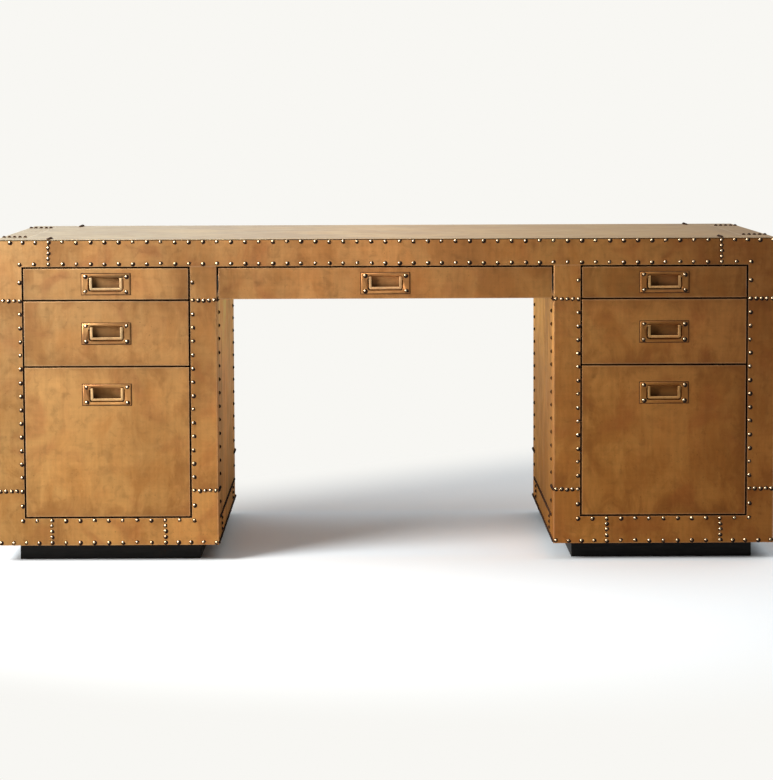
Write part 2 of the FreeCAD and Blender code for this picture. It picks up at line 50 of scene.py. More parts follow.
CAMERA_PLACE = Vector((-0.0391, -6.5480, 1.0542))
CAMERA_TURN = math.radians(-0.386)
CAMERA_PITCH = math.radians(90 - 4.483)
CAMERA_ROLL = math.radians(-0.195)
camera = bpy.data.objects.new("camera", bpy.data.cameras.new("camera"))
camera.data.lens = 121.67
camera.data.shift_y = -0.0897
camera.matrix_world = (Matrix.Translation(CAMERA_PLACE)
                       @ Matrix.Rotation(CAMERA_TURN, 4, "Z")
                       @ Matrix.Rotation(CAMERA_PITCH, 4, "X")
                       @ Matrix.Rotation(CAMERA_ROLL, 4, "Z"))
bpy.context.scene.collection.objects.link(camera)
bpy.context.scene.camera = camera
bpy.context.scene.view_settings.view_transform = "Standard"

# Studio
# A white room, dark in front and bright behind, with one soft lamp low on the left. The floor
# keeps the desk's shadow and turns into the plain backdrop further out.

BACKDROP = (0.939, 0.930, 0.896, 1)
ROOM_WHITE = (0.98, 1.0, 1.02, 1)
CEILING_LEVEL = 1.05


def wire(tree, node, inputs):
    """Sets inputs of a node to values, or joins them to other nodes' outputs."""
    for socket, value in inputs.items():
        if isinstance(value, bpy.types.NodeSocket):
            tree.links.new(value, node.inputs[socket])
        else:
            node.inputs[socket].default_value = value


def add(tree, kind, inputs=None, **settings):
    """A new node of this kind with these settings and inputs."""
    made = tree.nodes.new(kind)
    for setting, value in settings.items():
        setattr(made, setting, value)
    wire(tree, made, inputs or {})
    return made


def sums(tree, operation, first, second=0.0, clamp=False):
    """The output of a Math node."""
    return add(tree, "ShaderNodeMath", {0: first, 1: second}, operation=operation,
               use_clamp=clamp).outputs[0]


def blend(tree, share, first, second, way="MIX"):
    """The output of a colour Mix node."""
    mixed = add(tree, "ShaderNodeMix", {0: share, 6: first, 7: second}, data_type="RGBA",
                blend_type=way)
    return mixed.outputs[2]


def ramp(tree, value, low, high, out_low=0.0, out_high=1.0):
    """The value moved smoothly from the range low to high into the range out_low to out_high."""
    spread = add(tree, "ShaderNodeMapRange",
                 {"Value": value, "From Min": low, "From Max": high,
                  "To Min": out_low, "To Max": out_high}, interpolation_type="SMOOTHSTEP")
    return spread.outputs[0]


def between(tree, share, first, second):
    """The value that lies this share of the way from the first to the second."""
    mixed = add(tree, "ShaderNodeMix", {0: share, 2: first, 3: second}, data_type="FLOAT")
    return mixed.outputs[0]


room = bpy.data.worlds.new("studio")
room.use_nodes = True
bpy.context.scene.world = room
tree = room.node_tree
tree.nodes.clear()
direction = add(tree, "ShaderNodeSeparateXYZ",
                {0: add(tree, "ShaderNodeTexCoord").outputs["Generated"]})
side, depth, height = direction.outputs
front_wall = ramp(tree, side, 0.10, -0.70, 0.02, 0.12)
skyline = ramp(tree, side, 0.15, -0.14, 0.12, 1.90)
upper_wall = ramp(tree, side, -0.60, 0.60, 0.40, 1.20)
back_wall = between(tree, ramp(tree, height, 0.12, 0.35), skyline, upper_wall)
walls = between(tree, ramp(tree, depth, -0.15, 0.20), front_wall, back_wall)
level = between(tree, ramp(tree, height, 0.55, 0.80), walls, CEILING_LEVEL)
studio = add(tree, "ShaderNodeBackground", {0: ROOM_WHITE, 1: level})
backdrop = add(tree, "ShaderNodeBackground", {0: BACKDROP})
by_camera = add(tree, "ShaderNodeLightPath").outputs["Is Camera Ray"]
both = add(tree, "ShaderNodeMixShader",
           {0: by_camera, 1: studio.outputs[0], 2: backdrop.outputs[0]})
add(tree, "ShaderNodeOutputWorld", {0: both.outputs[0]})

FLOOR_RADIUS = 25
OPEN_FLOOR = (0.79, 0.81, 0.815, 1)
FLOOR_TINT_AGAINST_BOUNCE = (0.785, 0.845, 0.88, 1)
FLOOR_DIMMED_IN_MIRRORS = (0.38, 0.38, 0.38, 1)
SHADOW_MIDDLE = (0.4, 0.05, 0)
UNDER_DESK_MIDDLE = 0.05
UNDER_DESK_HALVES = (0.90, 0.34)

bpy.ops.object.select_all(action="DESELECT")
bpy.ops.mesh.primitive_circle_add(vertices=96, radius=FLOOR_RADIUS, fill_type="NGON",
                                  location=(0, 0, 0))
floor = bpy.context.object
floor.name = "floor"
floor_paint = bpy.data.materials.new("floor_paper")
floor_paint.use_nodes = True
tree = floor_paint.node_tree
tree.nodes.clear()
place = add(tree, "ShaderNodeTexCoord").outputs["Object"]
distance = add(tree, "ShaderNodeVectorMath", {0: place, 1: SHADOW_MIDDLE}, operation="DISTANCE")
across, back = add(tree, "ShaderNodeSeparateXYZ", {0: place}).outputs[:2]
slanted = sums(tree, "SUBTRACT", back, sums(tree, "MULTIPLY", across, 0.9))
faded = sums(tree, "MAXIMUM", ramp(tree, slanted, 0.60, 1.42),
             ramp(tree, distance.outputs["Value"], 1.1, 2.2))
path = add(tree, "ShaderNodeLightPath").outputs
seen = sums(tree, "MULTIPLY", path["Is Camera Ray"], faded)
# Painted reflection: in mirrors the floor near the desk is a dim grey, and far behind it glows
# like the backdrop
mirrored = sums(tree, "MULTIPLY", path["Is Glossy Ray"], ramp(tree, back, 1.0, 5.0))
# A painted cool tint on the floor under and round the desk, against the brown light that the
# brass throws on it
past_ends = sums(tree, "SUBTRACT", sums(tree, "ABSOLUTE", across), UNDER_DESK_HALVES[0])
off_middle = sums(tree, "ABSOLUTE", sums(tree, "SUBTRACT", back, UNDER_DESK_MIDDLE))
past_front = sums(tree, "SUBTRACT", off_middle, UNDER_DESK_HALVES[1])
past_desk = sums(tree, "MAXIMUM", past_ends, past_front)
shaded = blend(tree, ramp(tree, past_desk, 0.08, -0.04), OPEN_FLOOR, FLOOR_TINT_AGAINST_BOUNCE)
sheen = blend(tree, path["Is Glossy Ray"], shaded, FLOOR_DIMMED_IN_MIRRORS)
paper = add(tree, "ShaderNodeBsdfDiffuse", {0: sheen})
glow = add(tree, "ShaderNodeEmission", {0: BACKDROP})
share = sums(tree, "MAXIMUM", seen, mirrored)
both = add(tree, "ShaderNodeMixShader", {0: share, 1: paper.outputs[0], 2: glow.outputs[0]})
add(tree, "ShaderNodeOutputMaterial", {0: both.outputs[0]})
floor.data.materials.append(floor_paint)

LAMP_PLACE = Vector((-2.22, -1.66, 1.76))
LAMP_AIM = Vector((0, 0, 0.4))
lamp = bpy.data.lights.new("left_lamp", "AREA")
lamp.shape = "DISK"
lamp.size = 1.5
lamp.energy = 138
lamp_stand = bpy.data.objects.new("left_lamp", lamp)
lamp_stand.visible_camera = False
lamp_turn = (LAMP_AIM - LAMP_PLACE).to_track_quat("-Z", "Y").to_matrix().to_4x4()
lamp_stand.matrix_world = Matrix.Translation(LAMP_PLACE) @ lamp_turn
bpy.context.scene.collection.objects.link(lamp_stand)

# Plinths
# Each is a frame of four boards in black satin lacquer, set well back under its pedestal,
# with a little grain and some dust in the lacquer.


def finish(name, metallic=0.0):
    """A new material with one Principled shader: (material, tree, shader)."""
    made = bpy.data.materials.new(name)
    made.use_nodes = True
    tree = made.node_tree
    tree.nodes.clear()
    shader = add(tree, "ShaderNodeBsdfPrincipled", {"Metallic": metallic})
    add(tree, "ShaderNodeOutputMaterial", {0: shader.outputs[0]})
    return made, tree, shader


def new_group(name, inputs, outputs):
    """A shader node group with these sockets: (group, its input node, its output node)."""
    group = bpy.data.node_groups.new(name, "ShaderNodeTree")
    for socket, kind in inputs:
        group.interface.new_socket(socket, in_out="INPUT", socket_type="NodeSocket" + kind)
    for socket, kind in outputs:
        group.interface.new_socket(socket, in_out="OUTPUT", socket_type="NodeSocket" + kind)
    return group, add(group, "NodeGroupInput").outputs, add(group, "NodeGroupOutput")


GRAIN_ALONG = {"X": (0.06, 1, 1), "Y": (1, 0.06, 1), "Z": (1, 1, 0.06)}
FIGURE_SHARE = 0.55
GRAIN_DEPTH = 0.0004

wood_grain, given, gives = new_group(
    "wood_grain",
    [("Place", "Vector"), ("Light", "Color"), ("Dark", "Color"), ("Spread", "Float")],
    [("Color", "Color"), ("Gloss_Loss", "Float"), ("Height", "Float")])
rings = add(wood_grain, "ShaderNodeTexNoise",
            {"Vector": given["Place"], "Scale": 9.0, "Detail": 3.0, "Distortion": 0.8})
growth = sums(wood_grain, "MULTIPLY", rings.outputs[0], given["Spread"])
figure = ramp(wood_grain, sums(wood_grain, "FRACT", growth), 0.0, 0.8)
fibres = add(wood_grain, "ShaderNodeTexNoise",
             {"Vector": given["Place"], "Scale": 264.0, "Detail": 4.0, "Roughness": 0.6})
pores = ramp(wood_grain, fibres.outputs[0], 0.42, 0.62)
shade = sums(wood_grain, "ADD", sums(wood_grain, "MULTIPLY", figure, FIGURE_SHARE),
             sums(wood_grain, "MULTIPLY", pores, 1 - FIGURE_SHARE), clamp=True)
wire(wood_grain, gives, {
    "Color": blend(wood_grain, shade, given["Dark"], given["Light"]),
    "Gloss_Loss": sums(wood_grain, "SUBTRACT", 1.0, pores),
    "Height": pores})


def wood(name, light, dark, along, gloss, spread=5.0, relief=0.12, sheen=0.5):
    """Boards of one wood, with the grain along the given axis."""
    made, tree, shader = finish(name)
    place = add(tree, "ShaderNodeTexCoord").outputs["Object"]
    drawn = add(tree, "ShaderNodeMapping", {"Vector": place, "Scale": GRAIN_ALONG[along]})
    grain = add(tree, "ShaderNodeGroup", {"Place": drawn.outputs[0], "Light": light,
                                          "Dark": dark, "Spread": spread}, node_tree=wood_grain)
    bump = add(tree, "ShaderNodeBump", {"Strength": relief, "Distance": GRAIN_DEPTH,
                                        "Height": grain.outputs["Height"]})
    wire(tree, shader, {
        "Base Color": grain.outputs["Color"],
        "Roughness": ramp(tree, grain.outputs["Gloss_Loss"], 0.0, 1.0, gloss, gloss + 0.15),
        "Specular IOR Level": sheen,
        "Normal": bump.outputs[0]})
    return made


def paint(material, *nodes):
    """Gives CAD nodes their material."""
    for node in nodes:
        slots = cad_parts[node].data.materials
        slots.clear()
        slots.append(material)


black_lacquer = wood("black_lacquer", (0.008, 0.006, 0.004, 1), (0.004, 0.003, 0.002, 1), "X",
                     gloss=0.34, relief=0.06, sheen=0.3)
paint(black_lacquer, "left_plinth", "right_plinth")

# Pedestals
# Side panels, backs and bottoms of dark stained boards behind a face frame. The wood shows
# only in the drawer openings, round the brass, and from below.

STAIN_LIGHT = (0.115, 0.060, 0.030, 1)
STAIN_DARK = (0.045, 0.022, 0.012, 1)
upright_boards = wood("stained_upright", STAIN_LIGHT, STAIN_DARK, "Z", gloss=0.42)
level_boards = wood("stained_level", STAIN_LIGHT, STAIN_DARK, "X", gloss=0.42)
paint(upright_boards, "left_pedestal_panels", "right_pedestal_panels", "pedestal_backs",
      "face_frames")
paint(level_boards, "pedestal_bottoms")

# Back apron and desktop
# The apron closes the kneehole behind the middle drawer. The desktop is two boards on ribs,
# of the same stained wood, and only its underside shows.

paint(level_boards, "back_apron", "desktop_underside", "desktop_board")
paint(upright_boards, "desktop_ribs")

# Brass sheets
# The whole case is clad in 1 mm brass sheet with a hand-worked, lacquered brown patina. Flat
# strips and fields meet sheets folded round the corners. Each sheet has a tone of its own, at
# random, apart from the kneehole sides, which carry painted light: the left one lighter, the
# right one darker.

HALF_KNEEHOLE = 0.395
TONE_SHIFT = (7.3, 4.1, 5.7)
RIM_WIDTH = 0.050
RIM_STRENGTH = 0.36
# Rubbed edges, partly wear and partly a painted highlight along the arrises
EDGE_RUB_AND_HIGHLIGHT = (1.0, 0.86, 0.62, 1)
# Dark dirt in the seams, and painted shade in gaps, openings and hollows
DIRT_AND_SHADE = (0.013, 0.005, 0.003, 1)
# Painted light across the desk: a pale, cool tint at the left end, near the lamp and where the
# white room is reflected, and tints at shares of the way to the right end, darkest at the right
# end, away from the lamp
LEFT_TINT = (0.67, 0.78, 0.94)
TINTS = [(0.22, (0.66, 0.71, 0.78)), (0.52, (0.90, 0.88, 0.90)), (0.75, (0.75, 0.71, 0.60)),
         (0.995, (0.53, 0.45, 0.37))]
# Painted light: warmer low down and cooler higher up, as the room's light reflected from above
LOW_TINT = (1.0, 0.96, 0.88, 1)
HIGH_TINT = (1.0, 1.01, 1.15, 1)
# Painted light: the top of the kneehole sides, behind the front and below the desktop, is painted
# lighter and golden, as if lit
KNEEHOLE_TOP_LIGHT = (1.52, 1.74, 1.52, 1)
KNEEHOLE_TOP_LIGHT_SKIN = 0.0011
KNEEHOLE_TOP_LIGHT_FRONT = -0.379
KNEEHOLE_TOP_LIGHT_TOP = 0.63

aged_sheet, given, gives = new_group(
    "aged_sheet",
    [("Place", "Vector"), ("Near", "Vector"), ("Far", "Vector"), ("Tone", "Float"),
     ("Edge", "Float"), ("Grime_And_Shade", "Float"), ("Rub_And_Highlight", "Float"), ("Gold", "Color"),
     ("Brown", "Color"), ("Red", "Color"), ("Dark", "Color")],
    [("Color", "Color"), ("Roughness", "Float"), ("Height", "Float"), ("Clear_Of_Dirt_And_Shade", "Float")])
# The helpers for sums, colours and ranges, inside this group
worked_out = partial(sums, aged_sheet)
tinted = partial(blend, aged_sheet)
spread = partial(ramp, aged_sheet)
shift = add(aged_sheet, "ShaderNodeVectorMath", {0: TONE_SHIFT, "Scale": given["Tone"]},
            operation="SCALE")
own_place = add(aged_sheet, "ShaderNodeVectorMath",
                {0: given["Place"], 1: shift.outputs[0]}, operation="ADD").outputs[0]


def mottle(place, scale, detail, roughness=0.5, distortion=0.0):
    """The output of a Noise node in the patina."""
    return add(aged_sheet, "ShaderNodeTexNoise",
               {"Vector": place, "Scale": scale, "Detail": detail, "Roughness": roughness,
                "Distortion": distortion}).outputs[0]


def stretched(scale):
    """The sheet's own place, drawn out where the scale is small."""
    return add(aged_sheet, "ShaderNodeMapping", {"Vector": own_place, "Scale": scale}).outputs[0]


# Clouds of gold and brown, with reddish patches, dark blotches and specks
upright = stretched((1, 1, 0.6))
clouds = mottle(upright, 4.5, 3.0, 0.5, 0.3)
patches = mottle(upright, 16.0, 5.0, 0.62, 0.6)
blotches = mottle(own_place, 42.0, 4.0, 0.6, 0.8)
reds = mottle(own_place, 9.0, 4.0, 0.55, 0.9)
streaks = mottle(stretched((110, 110, 9)), 1.0, 3.0)
rubs = mottle(stretched((9, 9, 120)), 1.0, 3.0)
specks = mottle(own_place, 210.0, 2.0)
mixed = worked_out("ADD", worked_out("MULTIPLY", clouds, 0.5),
                   worked_out("MULTIPLY", patches, 0.5))
patina_and_painted_light = tinted(spread(mixed, 0.40, 0.60), given["Brown"], given["Gold"])
patina_and_painted_light = tinted(spread(reds, 0.48, 0.70, 0.0, 0.5), patina_and_painted_light, given["Red"])
patina_and_painted_light = tinted(spread(blotches, 0.48, 0.30, 0.0, 0.20), patina_and_painted_light, given["Dark"])
patina_and_painted_light = tinted(spread(specks, 0.34, 0.22, 0.0, 0.5), patina_and_painted_light, given["Dark"])

# Darker towards the sheet's sides, in an uneven line
low_sides = add(aged_sheet, "ShaderNodeSeparateXYZ", {0: given["Near"]}).outputs
high_sides = add(aged_sheet, "ShaderNodeSeparateXYZ", {0: given["Far"]}).outputs
inland = low_sides[0]
for side in (*low_sides[1:], *high_sides):
    inland = worked_out("MINIMUM", inland, side)
shore = worked_out("ADD", inland, spread(patches, 0.30, 0.70, -RIM_WIDTH / 2, RIM_WIDTH / 2))
rim = spread(shore, RIM_WIDTH, -0.010)
patina_and_painted_light = tinted(worked_out("MULTIPLY", rim, RIM_STRENGTH), patina_and_painted_light, given["Dark"])

# Painted light over the whole desk
across, deep, up = add(aged_sheet, "ShaderNodeSeparateXYZ", {0: given["Place"]}).outputs
drift = worked_out("ADD", across, spread(clouds, 0.2, 0.8, -0.12, 0.12))
to_right = add(aged_sheet, "ShaderNodeMapRange",
               {"Value": drift, "From Min": -0.9, "From Max": 0.9}).outputs[0]
# Painted light from the left end of the desk to the right: pale and cool near the lamp, dark away
# from it
painted_light_across = add(aged_sheet, "ShaderNodeValToRGB", {0: to_right})
stops = painted_light_across.color_ramp.elements
stops.remove(stops[1])
stops[0].color = (*LEFT_TINT, 1)
for share, colour in TINTS:
    stops.new(share).color = (*colour, 1)
patina_and_painted_light = tinted(1.0, patina_and_painted_light, painted_light_across.outputs[0], "MULTIPLY")
# Painted light: warmer low down, cooler higher up
patina_and_painted_light = tinted(1.0, patina_and_painted_light, tinted(spread(up, 0.12, 0.72), LOW_TINT, HIGH_TINT), "MULTIPLY")
# Painted light at the top of the kneehole sides, fading out lower down
off_side = worked_out("SUBTRACT", worked_out("ABSOLUTE", across), HALF_KNEEHOLE)
lit_kneehole_top = worked_out("LESS_THAN", worked_out("ABSOLUTE", off_side), KNEEHOLE_TOP_LIGHT_SKIN)
lit_kneehole_top = worked_out("MULTIPLY", lit_kneehole_top, worked_out("GREATER_THAN", deep, KNEEHOLE_TOP_LIGHT_FRONT))
lit_kneehole_top = worked_out("MULTIPLY", lit_kneehole_top, worked_out("LESS_THAN", up, KNEEHOLE_TOP_LIGHT_TOP))
lit_kneehole_top = worked_out("MULTIPLY", lit_kneehole_top, spread(up, 0.39, 0.62))
patina_and_painted_light = tinted(lit_kneehole_top, patina_and_painted_light, KNEEHOLE_TOP_LIGHT, "MULTIPLY")

# Lighter and darker by streaks, rubs, the sheet's tone and clouds, and lighter at the edges, from
# wear and a painted highlight
value = worked_out("ADD", spread(streaks, 0.3, 0.7, 0.95, 1.05),
                   spread(rubs, 0.3, 0.7, -0.03, 0.03))
value = worked_out("ADD", value, worked_out("MULTIPLY", given["Tone"], 0.09))
value = worked_out("ADD", value, spread(clouds, 0.3, 0.7, -0.05, 0.05))
value = worked_out("ADD", value, spread(given["Edge"], 0.2, 1.0, 0.0, 0.25))
lit = add(aged_sheet, "ShaderNodeHueSaturation", {"Value": value, "Color": patina_and_painted_light}).outputs[0]
# The edges are lit by wear and a painted highlight
rubbed_and_highlighted = tinted(worked_out("MULTIPLY", given["Edge"], given["Rub_And_Highlight"]), lit, EDGE_RUB_AND_HIGHLIGHT)

rough = worked_out("ADD", spread(patches, 0.3, 0.7, 0.06, -0.05),
                   spread(blotches, 0.3, 0.7, 0.46, 0.52))
rough = worked_out("SUBTRACT", rough, worked_out("MULTIPLY", given["Edge"], 0.10))
rough = worked_out("ADD", rough, worked_out("MULTIPLY", given["Grime_And_Shade"], 0.4), clamp=True)
wire(aged_sheet, gives, {
    "Color": tinted(given["Grime_And_Shade"], rubbed_and_highlighted, DIRT_AND_SHADE),
    "Roughness": rough,
    "Height": worked_out("ADD", clouds, worked_out("MULTIPLY", patches, 0.25)),
    "Clear_Of_Dirt_And_Shade": worked_out("SUBTRACT", 1.0, given["Grime_And_Shade"], clamp=True)})

METAL_SHARE = 0.9
LACQUER_ROUGHNESS = 0.36
DENT_DEPTH = 0.002


def brass(name, gold, brown, red, dark, lacquer=0.12, glance=(0.80, 0.57, 0.25, 1), relief=0.5,
          rub=0.0):
    """Brass with a worked patina under lacquer, from the pieces' tone, edge, soiling and painted
    shade.

    glance is the brass seen at a low angle, and rub how bright its edges are rubbed and painted
    with a highlight.
    """
    made, tree, shader = finish(name)
    own = {part: add(tree, "ShaderNodeAttribute", attribute_name=part).outputs
           for part in ("tone", "edge", "grime_and_shade", "near", "far")}
    patina = add(tree, "ShaderNodeGroup", {
        "Place": add(tree, "ShaderNodeTexCoord").outputs["Object"],
        "Near": own["near"]["Vector"], "Far": own["far"]["Vector"],
        "Tone": own["tone"]["Fac"], "Edge": own["edge"]["Fac"], "Grime_And_Shade": own["grime_and_shade"]["Fac"],
        "Rub_And_Highlight": rub, "Gold": gold, "Brown": brown, "Red": red, "Dark": dark},
                 node_tree=aged_sheet).outputs
    bump = add(tree, "ShaderNodeBump", {"Strength": relief, "Distance": DENT_DEPTH,
                                        "Height": patina["Height"]})
    wire(tree, shader, {
        "Base Color": patina["Color"],
        "Roughness": patina["Roughness"],
        "Metallic": sums(tree, "MULTIPLY", patina["Clear_Of_Dirt_And_Shade"], METAL_SHARE),
        "Specular Tint": glance,
        "Coat Weight": sums(tree, "MULTIPLY", patina["Clear_Of_Dirt_And_Shade"], lacquer),
        "Coat Roughness": LACQUER_ROUGHNESS,
        "Normal": bump.outputs[0]})
    return made


case_brass = brass("case_brass", gold=(0.90, 0.430, 0.125, 1), brown=(0.66, 0.280, 0.072, 1),
                   red=(0.60, 0.205, 0.060, 1), dark=(0.32, 0.120, 0.034, 1), rub=0.1)
top_brass = brass("top_brass", gold=(0.69, 0.42, 0.125, 1), brown=(0.58, 0.32, 0.085, 1),
                  red=(0.53, 0.27, 0.071, 1), dark=(0.30, 0.15, 0.045, 1), lacquer=0.7,
                  glance=(0.74, 0.65, 0.42, 1), rub=0.3)
tones = random.Random(11)
WEAR_AND_HIGHLIGHT_WIDTH = 0.0025
NARROW = 0.15
SKIN = 0.001


def select_only(piece):
    """Selects one object alone and makes it the active one."""
    bpy.ops.object.select_all(action="DESELECT")
    piece.select_set(True)
    bpy.context.view_layer.objects.active = piece


def write_attribute(mesh, name, values):
    """Sets a number for each vertex."""
    mesh.attributes.new(name, "FLOAT", "POINT").data.foreach_set("value", values)


def write_reach(mesh):
    """Sets how far each vertex lies from the low and the high sides of its sheet.

    A way in which the sheet is narrow doesn't count, so its sides are put a metre off.
    """
    low = [min(v.co[axis] for v in mesh.vertices) for axis in range(3)]
    high = [max(v.co[axis] for v in mesh.vertices) for axis in range(3)]
    narrow = [high[axis] - low[axis] < NARROW for axis in range(3)]
    for name, ends, way in (("near", low, 1), ("far", high, -1)):
        reach = [1.0 if narrow[axis] else way * (v.co[axis] - ends[axis])
                 for v in mesh.vertices for axis in range(3)]
        mesh.attributes.new(name, "FLOAT_VECTOR", "POINT").data.foreach_set("vector", reach)


def copy_of(node, name):
    """A copy of a CAD node with its loose triangles merged into whole faces."""
    piece = bpy.data.objects.new(name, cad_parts[node].data.copy())
    bpy.context.scene.collection.objects.link(piece)
    select_only(piece)
    bpy.ops.object.mode_set(mode="EDIT")
    bpy.ops.mesh.select_all(action="SELECT")
    bpy.ops.mesh.remove_doubles(threshold=0.00001)
    bpy.ops.mesh.dissolve_limited(angle_limit=math.radians(0.5))
    bpy.ops.object.mode_set(mode="OBJECT")
    return piece


def mark_edges(piece, tone, dirt_and_shade_depth, wear_and_highlight=1.0):
    """Insets a thin border in the broad faces and marks it for wear and a painted highlight.

    The last argument says for a place how deep it lies in soiling and painted shade, from 0 to 1.
    """
    mesh = piece.data
    select_only(piece)
    bpy.ops.object.mode_set(mode="EDIT")
    bpy.ops.mesh.select_mode(type="FACE")
    bpy.ops.mesh.select_all(action="DESELECT")
    bpy.ops.object.mode_set(mode="OBJECT")
    for face in mesh.polygons:
        rim = sum((mesh.vertices[a].co - mesh.vertices[b].co).length for a, b in face.edge_keys)
        face.select = face.area / rim > WEAR_AND_HIGHLIGHT_WIDTH * 1.2
    bpy.ops.object.mode_set(mode="EDIT")
    bpy.ops.mesh.inset(thickness=WEAR_AND_HIGHLIGHT_WIDTH)
    bpy.ops.object.mode_set(mode="OBJECT")
    edges = [wear_and_highlight] * len(mesh.vertices)
    for face in mesh.polygons:
        if face.select:
            for number in face.vertices:
                edges[number] = 0.0
    write_attribute(mesh, "edge", edges)
    write_attribute(mesh, "grime_and_shade", [dirt_and_shade_depth(v.co) for v in mesh.vertices])
    write_attribute(mesh, "tone", [tone] * len(mesh.vertices))
    write_reach(mesh)


def split(piece):
    """The loose pieces of an object, from left to right, front to back and low to high."""
    select_only(piece)
    bpy.ops.object.mode_set(mode="EDIT")
    bpy.ops.mesh.select_all(action="SELECT")
    bpy.ops.mesh.separate(type="LOOSE")
    bpy.ops.object.mode_set(mode="OBJECT")
    parts = list(bpy.context.selected_objects)

    def corner(part):
        return tuple(round(min(v.co[axis] for v in part.data.vertices), 4) for axis in range(3))

    return sorted(parts, key=corner)


def join(parts, name):
    """One object of several."""
    bpy.ops.object.select_all(action="DESELECT")
    for part in parts:
        part.select_set(True)
    bpy.context.view_layer.objects.active = parts[0]
    bpy.ops.object.join()
    joined = bpy.context.object
    joined.name = name
    joined.data.name = name
    return joined


def smooth(piece, angle=30):
    """Shades a piece smooth, apart from its edges sharper than the angle."""
    select_only(piece)
    bpy.ops.object.shade_smooth_by_angle(angle=math.radians(angle))


def dress(piece, material, body, slot, *nodes):
    """Gives a new piece its material and ties it to the frame."""
    piece.data.materials.clear()
    piece.data.materials.append(material)
    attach(piece, body)
    if nodes:
        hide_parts(*nodes)


case_low, case_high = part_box("outer_corner_sheets")
top_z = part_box("top_sheets")[1].z


# Dirt in the seams, and painted shade where the sheets turn in at gaps and openings
def behind_skin(place):
    """1 for a place below the brass surface of the case, as on the sides of a seam."""
    depth = min(place.y - case_low.y, case_high.y - place.y, case_high.x - abs(place.x),
                abs(abs(place.x) - HALF_KNEEHOLE), abs(top_z - place.z))
    return 1.0 if depth > SKIN * 0.7 else 0.0


# A painted shadow just under the top's edge
TOP_LINE = (0.0003, 0.0015)
TOP_LINE_SHADOW = 3.0


def under_top(place):
    """The same, and more just under the top, where a dark line of painted shadow runs round the
    desk below the top's edge.
    """
    if TOP_LINE[0] < top_z - place.z < TOP_LINE[1]:
        return TOP_LINE_SHADOW
    return behind_skin(place)


# Painted light: the left kneehole side, which faces away from the lamp, is made lighter, and the
# right one, which faces it, darker
KNEEHOLE_PAINTED_LIGHT = {"left": 3.4, "right": -2.0}
for node in ("edge_sheets", "field_sheets", "outer_corner_sheets", "kneehole_corner_sheets",
             "top_sheets"):
    sheets = split(copy_of(node, node + "_whole"))
    for sheet in sheets:
        inward = max(abs(abs(v.co.x) - HALF_KNEEHOLE) for v in sheet.data.vertices) < SKIN * 1.5
        tone = tones.uniform(-1, 1)
        if inward:
            tone = KNEEHOLE_PAINTED_LIGHT["right" if sheet.data.vertices[0].co.x > 0 else "left"]
        mark_edges(sheet, tone, behind_skin if node == "top_sheets" else under_top)
    clad = join(sheets, node.replace("_sheets", "_cladding"))
    smooth(clad)
    dress(clad, top_brass if node == "top_sheets" else case_brass, "case", "sheet_brass", node)

# Nails
# Domed brass nails, about 8 mm across and polished bright, driven by hand through every seam
# and edge of the sheets. Dark polish is left at the foot of each head. A painted shadow darkens
# the lower right of each head and the ring round it, and painted shade darkens those on the top
# and in the kneehole all over.

HEAD_RADIUS = 0.0042
HEAD_HEIGHT = 0.0033
DULL_RADIUS = 0.0047
DULL_HEIGHT = 0.0040
HEAD_SUNK = 0.00005
HEAD_SIDES = 12
RING_SHARE = 1.36
SHADOW_DRAG = Vector((0.0010, -0.0008, 0))
LOWER_RIGHT_SHADE = 0.34
DULL_SHADE = 0.9
RING_FOOT = 1.6
TILT = 2.5
OFF_PLACE = 0.0003
OFF_SIZE = 0.04
HALF_WIDTH = 0.915
front_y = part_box("edge_sheets")[0].y
back_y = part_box("edge_sheets")[1].y

hand = random.Random(5)


def nail_head(radius, height, painted_shade=0.0):
    """One head: a cap cut from a sphere, flat below, with its foot marked for dark polish and
    painted shade, most on the lower right.
    """
    ball = (radius ** 2 + height ** 2) / (2 * height)
    bpy.ops.object.select_all(action="DESELECT")
    bpy.ops.mesh.primitive_uv_sphere_add(segments=HEAD_SIDES, ring_count=9, radius=ball,
                                         location=(0, 0, height - ball))
    head = bpy.context.object
    bpy.ops.object.mode_set(mode="EDIT")
    bpy.ops.mesh.select_all(action="SELECT")
    bpy.ops.mesh.bisect(plane_co=(0, 0, 0), plane_no=(0, 0, 1), clear_inner=True, use_fill=True,
                        threshold=0.00001)
    bpy.ops.object.mode_set(mode="OBJECT")
    mesh = head.data
    mesh.transform(head.matrix_world)
    head.matrix_world = Matrix.Identity(4)
    # The foot value grows towards the rim and to the lower right, where the painted shadow falls
    write_attribute(mesh, "foot", [1.0 - v.co.z / height + painted_shade
                                   + LOWER_RIGHT_SHADE * (v.co.x - v.co.y) / radius
                                   for v in mesh.vertices])
    for face in mesh.polygons:
        face.use_smooth = len(face.vertices) < 5
    bpy.ops.object.select_all(action="DESELECT")
    bpy.ops.mesh.primitive_circle_add(vertices=HEAD_SIDES, radius=radius * RING_SHARE,
                                      fill_type="NGON", location=(0, 0, HEAD_SUNK * 2))
    ring = bpy.context.object
    bpy.ops.object.mode_set(mode="EDIT")
    bpy.ops.mesh.select_all(action="SELECT")
    bpy.ops.mesh.inset(thickness=radius * (RING_SHARE - 1))
    bpy.ops.object.mode_set(mode="OBJECT")
    ring.data.transform(ring.matrix_world)
    ring.matrix_world = Matrix.Identity(4)
    # The ring's outer edge is pushed to the lower right: a painted shadow
    outer = [v.co.xy.length > radius * 1.05 for v in ring.data.vertices]
    for vertex, moved in zip(ring.data.vertices, outer):
        if moved:
            vertex.co += SHADOW_DRAG
    write_attribute(ring.data, "foot", [RING_FOOT if moved else 1.0 for moved in outer])
    return join([head, ring], "head")


